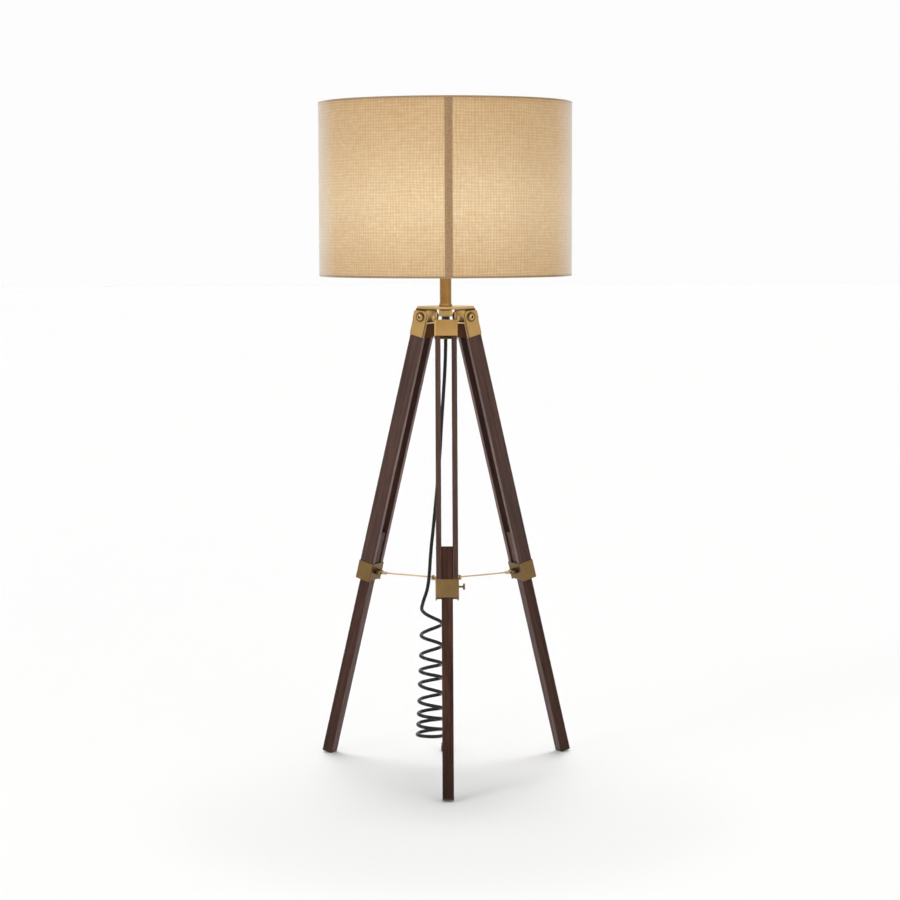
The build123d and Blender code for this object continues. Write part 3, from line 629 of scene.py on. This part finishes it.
def bracket_finish(name, hinge, inner, across, down):
    """Brass with painted shade on its inner wall, painted highlights on its margins, and painted shadow
    lines at folds and screws.
    """
    finish = brass_finish(name, head_tint)
    tree = finish.node_tree
    tree.nodes["Principled BSDF"].inputs["Specular Tint"].default_value = (1.0, 0.72, 0.57, 1.0)
    place = tree.nodes["Texture Coordinate"].outputs["Object"]
    flat = add_node(tree, "ShaderNodeNewGeometry").outputs["Normal"]
    depth = calculate(tree, "SUBTRACT", dot_product(tree, place, inner), hinge.dot(inner))
    along = calculate(tree, "SUBTRACT", dot_product(tree, place, down), hinge.dot(down))
    aside = calculate(tree, "ABSOLUTE", dot_product(tree, place, across))
    below = step(tree, along, bracket_rim - line_fade, bracket_rim)
    between = step(tree, aside, bracket_margin, bracket_margin - line_fade)
    # painted shade on the inner wall, with a painted highlight on its rim and margins
    wall = ramp(tree, calculate(tree, "MULTIPLY", below, between), (0.0, margin_painted_highlight), (1.0, wall_painted_shade))
    inward = step(tree, dot_product(tree, flat, inner), facing_start, facing_end)
    inputs = {0: inward, 6: (*untouched, 1.0), 7: wall}
    stain(finish, add_node(tree, "ShaderNodeMix", inputs, data_type="RGBA").outputs[2])
    sideways = calculate(tree, "ABSOLUTE", dot_product(tree, flat, across))
    cheek = step(tree, sideways, facing_start, facing_end)
    # painted shadow lines along the fold and round each screw head
    fold = band(tree, depth, *fold_line, line_fade)
    far = calculate(tree, "SQRT", calculate(tree, "ADD", squared(tree, depth), squared(tree, along)))
    ring = band(tree, far, ring_inside, ring_outside, line_fade)
    line = calculate(tree, "MULTIPLY", cheek, calculate(tree, "MAXIMUM", fold, ring))
    stain(finish, ramp(tree, line, (0.0, untouched), (1.0, painted_line_shade)))
    return finish


screw_brass = brass_finish("screw_brass", (0.44, 0.30, 0.135), 0.20)
for leg, azimuth in leg_azimuths.items():
    outward, across, down, inner = leg_directions(azimuth)
    hinge = outward * hinge_radius + Vector((0, 0, hinge_height))
    folded = bracket_finish(f"bracket_brass_{leg}", hinge, inner, across, down)
    dress(folded, f"{leg}_bracket")
    dress(screw_brass, f"{leg}_hinge_fasteners")

# Collars
# Sleeves of darker brass round the rails' lower ends. In each a knurled thumb screw
# clamps the lower leg, which slides on two plastic pads.
collar_brass = brass_finish("collar_brass", (0.190, 0.117, 0.049), 0.38)
for leg in leg_azimuths:
    dress(collar_brass, f"{leg}_collar", f"{leg}_thumb_screw")
    dress(black_plastic, f"{leg}_glide_pads")

# Foot pads
# Pads of dull black rubber, moulded to the section of the lower legs and glued
# under their ends.
rubber_black, tree, shader, place = new_finish("rubber_black", Roughness=0.8)
cloud(tree, shader, place, 120.0, (0.3, (0.012, 0.011, 0.010)), (0.8, (0.030, 0.027, 0.025)))
bump(tree, shader, noise(tree, place, 1200.0), 0.0002, 0.5)
for leg in leg_azimuths:
    dress(rubber_black, f"{leg}_foot_pad")

# Spreader
# Three thin rods with an eye and a ball meet in a pressed star plate that keeps the
# legs apart. They are of pale brass, and hang on pins in the collars' lugs.
rod_brass = brass_finish("rod_brass", (0.50, 0.36, 0.19), 0.34)
dress(rod_brass, "spreader_hub")
for leg in leg_azimuths:
    dress(rod_brass, f"{leg}_eye_pin", f"{leg}_spreader_rod")

# Plug
# Moulded on the cord's end in the same black rubber, with two plain brass blades.
# It lies flat on the floor where the front leg hides it.
dress(cord_black, "plug_body")
dress(head_brass, "plug_blades")

# Studio
# A white floor without an edge and a white surround, lit softly from above with two
# weaker lights in front. The floor has its own light, which keeps the lamp's soft shadow.
floor_size = 60.0
floor_back = 10.0
floor_drop = 0.0004  # just clear of the feet
bpy.ops.object.select_all(action="DESELECT")
bpy.ops.mesh.primitive_plane_add(size=floor_size, location=(0, floor_back, -floor_drop))
floor = bpy.context.object
floor.name = "floor"


def background_seen(tree):
    """1 where the view, a reflection or a look through glass meets the background."""
    ray = add_node(tree, "ShaderNodeLightPath").outputs
    seen = calculate(tree, "MAXIMUM", ray["Is Camera Ray"], ray["Is Glossy Ray"])
    return calculate(tree, "MAXIMUM", seen, ray["Is Transmission Ray"])


floor_white, tree, shader, place = new_finish(
    "floor_white",
    Base_Color=(0.78, 0.78, 0.78, 1.0),
    Roughness=1.0,
    Specular_IOR_Level=0.0,
    Emission_Color=(1.0, 1.0, 1.0, 1.0),
)
glow = calculate(tree, "MULTIPLY", background_seen(tree), 0.08)
tree.links.new(glow, shader.inputs["Emission Strength"])
floor.data.materials.append(floor_white)

world = bpy.data.worlds.new("studio")
world.use_nodes = True
scene.world = world
tree = world.node_tree
surround = tree.nodes["Background"]
surround.inputs["Color"].default_value = (1.0, 1.0, 1.0, 1.0)
tree.links.new(spread(tree, background_seen(tree), 0.40, 0.98), surround.inputs["Strength"])

only_floor = bpy.data.collections.new("only_floor")
only_floor.objects.link(floor)
all_but_floor = bpy.data.collections.new("all_but_floor")
all_but_floor.objects.link(floor)
all_but_floor.collection_objects[0].light_linking.link_state = "EXCLUDE"
white_light = (1.0, 1.0, 1.0)
warm_light = (1.0, 0.95, 0.89)
light_distance = 4
for name, direction, strength, softness, colour, lit in (
    ("overhead", (0.0, 0.42, 1.0), 2.2, 32.0, white_light, all_but_floor),
    ("over_floor", (0.0, 0.28, 1.0), 2.11, 28.0, white_light, only_floor),
    ("front_left", (-1.0, -0.9, 0.45), 0.80, 16.0, white_light, None),
    ("front_right", (0.7, -1.0, 0.20), 0.67, 50.0, warm_light, None),
):
    bpy.ops.object.light_add(type="SUN", location=Vector(direction) * light_distance)
    light = bpy.context.object
    light.name = name
    light.data.energy = strength
    light.data.color = colour
    light.data.angle = radians(softness)
    light.visible_camera = False
    light.rotation_euler = Vector(direction).to_track_quat("Z", "Y").to_euler()
    light.light_linking.receiver_collection = lit
